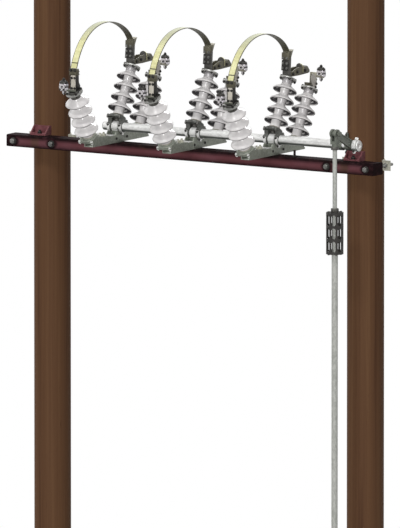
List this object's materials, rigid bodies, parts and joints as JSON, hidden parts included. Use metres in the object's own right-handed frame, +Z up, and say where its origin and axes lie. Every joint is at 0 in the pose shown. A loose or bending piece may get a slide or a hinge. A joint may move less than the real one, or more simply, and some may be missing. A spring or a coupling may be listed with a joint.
{
  "type": "wooden utility pole structure with air-break switch",
  "caption": "Two-pole wooden line structure with a steel crossarm, rocking-insulator air-break switch, arched flexible strips, rocking shaft, crank and vertical operating rod.",
  "frame": {"origin": "middle of the left pole's foot, at ground level", "axes": "+X from the left pole to the right pole along the crossarm, +Y to the back, +Z up the poles; the crossarm and the operating rod are on the -Y side"},
  "size_m": [2.92, 1.3287, 8.2],
  "materials": {
    "pole_wood": "weathered dark brown",
    "arm_paint": "dark maroon, satin",
    "cleat_paint": "red oxide, satin",
    "galvanised": "dull galvanised grey",
    "bolt_steel": "dull zinc",
    "porcelain": "light grey glaze",
    "contact_metal": "dull olive brown",
    "strip_metal": "pale, brushed",
    "shaft_steel": "bright galvanised",
    "rod_steel": "dull galvanised",
    "cage_black": "black",
    "grip_black": "matt black"
  },
  "bodies": {
    "frame": {"left_pole": "pole_wood", "right_pole": "pole_wood", "crossarm": "arm_paint", "left_cleat": "cleat_paint", "right_cleat": "cleat_paint", "left_strap": "galvanised", "right_strap": "galvanised", "left_studs": "bolt_steel", "right_studs": "bolt_steel", "base_channel_1": "galvanised", "base_channel_2": "galvanised", "base_channel_3": "galvanised", "shaft_bearing_1": "galvanised", "shaft_bearing_2": "galvanised", "shaft_bearing_3": "galvanised", "end_bearing": "galvanised", "front_insulator_1": "porcelain", "front_insulator_2": "porcelain", "front_insulator_3": "porcelain", "rear_insulator_1": "porcelain", "rear_insulator_2": "porcelain", "rear_insulator_3": "porcelain", "front_terminal_1": "contact_metal", "front_terminal_2": "contact_metal", "front_terminal_3": "contact_metal", "rear_contact_1": "contact_metal", "rear_contact_2": "contact_metal", "rear_contact_3": "contact_metal", "low_rod_guide": "galvanised", "high_rod_guide": "galvanised", "flexible_strip_1": "strip_metal", "flexible_strip_2": "strip_metal", "flexible_strip_3": "strip_metal"},
    "shaft": {"rocking_shaft": "shaft_steel", "crank": "galvanised", "rocker_1": "galvanised", "rocker_2": "galvanised", "rocker_3": "galvanised", "moving_insulator_1": "porcelain", "moving_insulator_2": "porcelain", "moving_insulator_3": "porcelain", "moving_contact_1": "contact_metal", "moving_contact_2": "contact_metal", "moving_contact_3": "contact_metal"},
    "rod": {"rod_clevis": "galvanised", "upper_rod": "rod_steel", "rod_cage": "cage_black", "lower_rod": "rod_steel", "hand_grip": "grip_black"}
  },
  "joints": [
    {"name": "shaft_rock", "type": "hinge", "parent": "frame", "child": "shaft", "pos_m": [1.25, -0.167, 7.143], "axis": [1, 0, 0], "range_deg": [0, 50], "deforming": ["flexible_strip_1", "flexible_strip_2", "flexible_strip_3"]},
    {"name": "rod_pin", "type": "hinge", "parent": "shaft", "child": "rod", "pos_m": [2.5, -0.39358, 7.24866], "axis": [1, 0, 0], "range_deg": [-50, 0]}
  ],
  "couplings": [
    {"joint": "rod_pin", "follows": "shaft_rock", "ratio": -1}
  ]
}
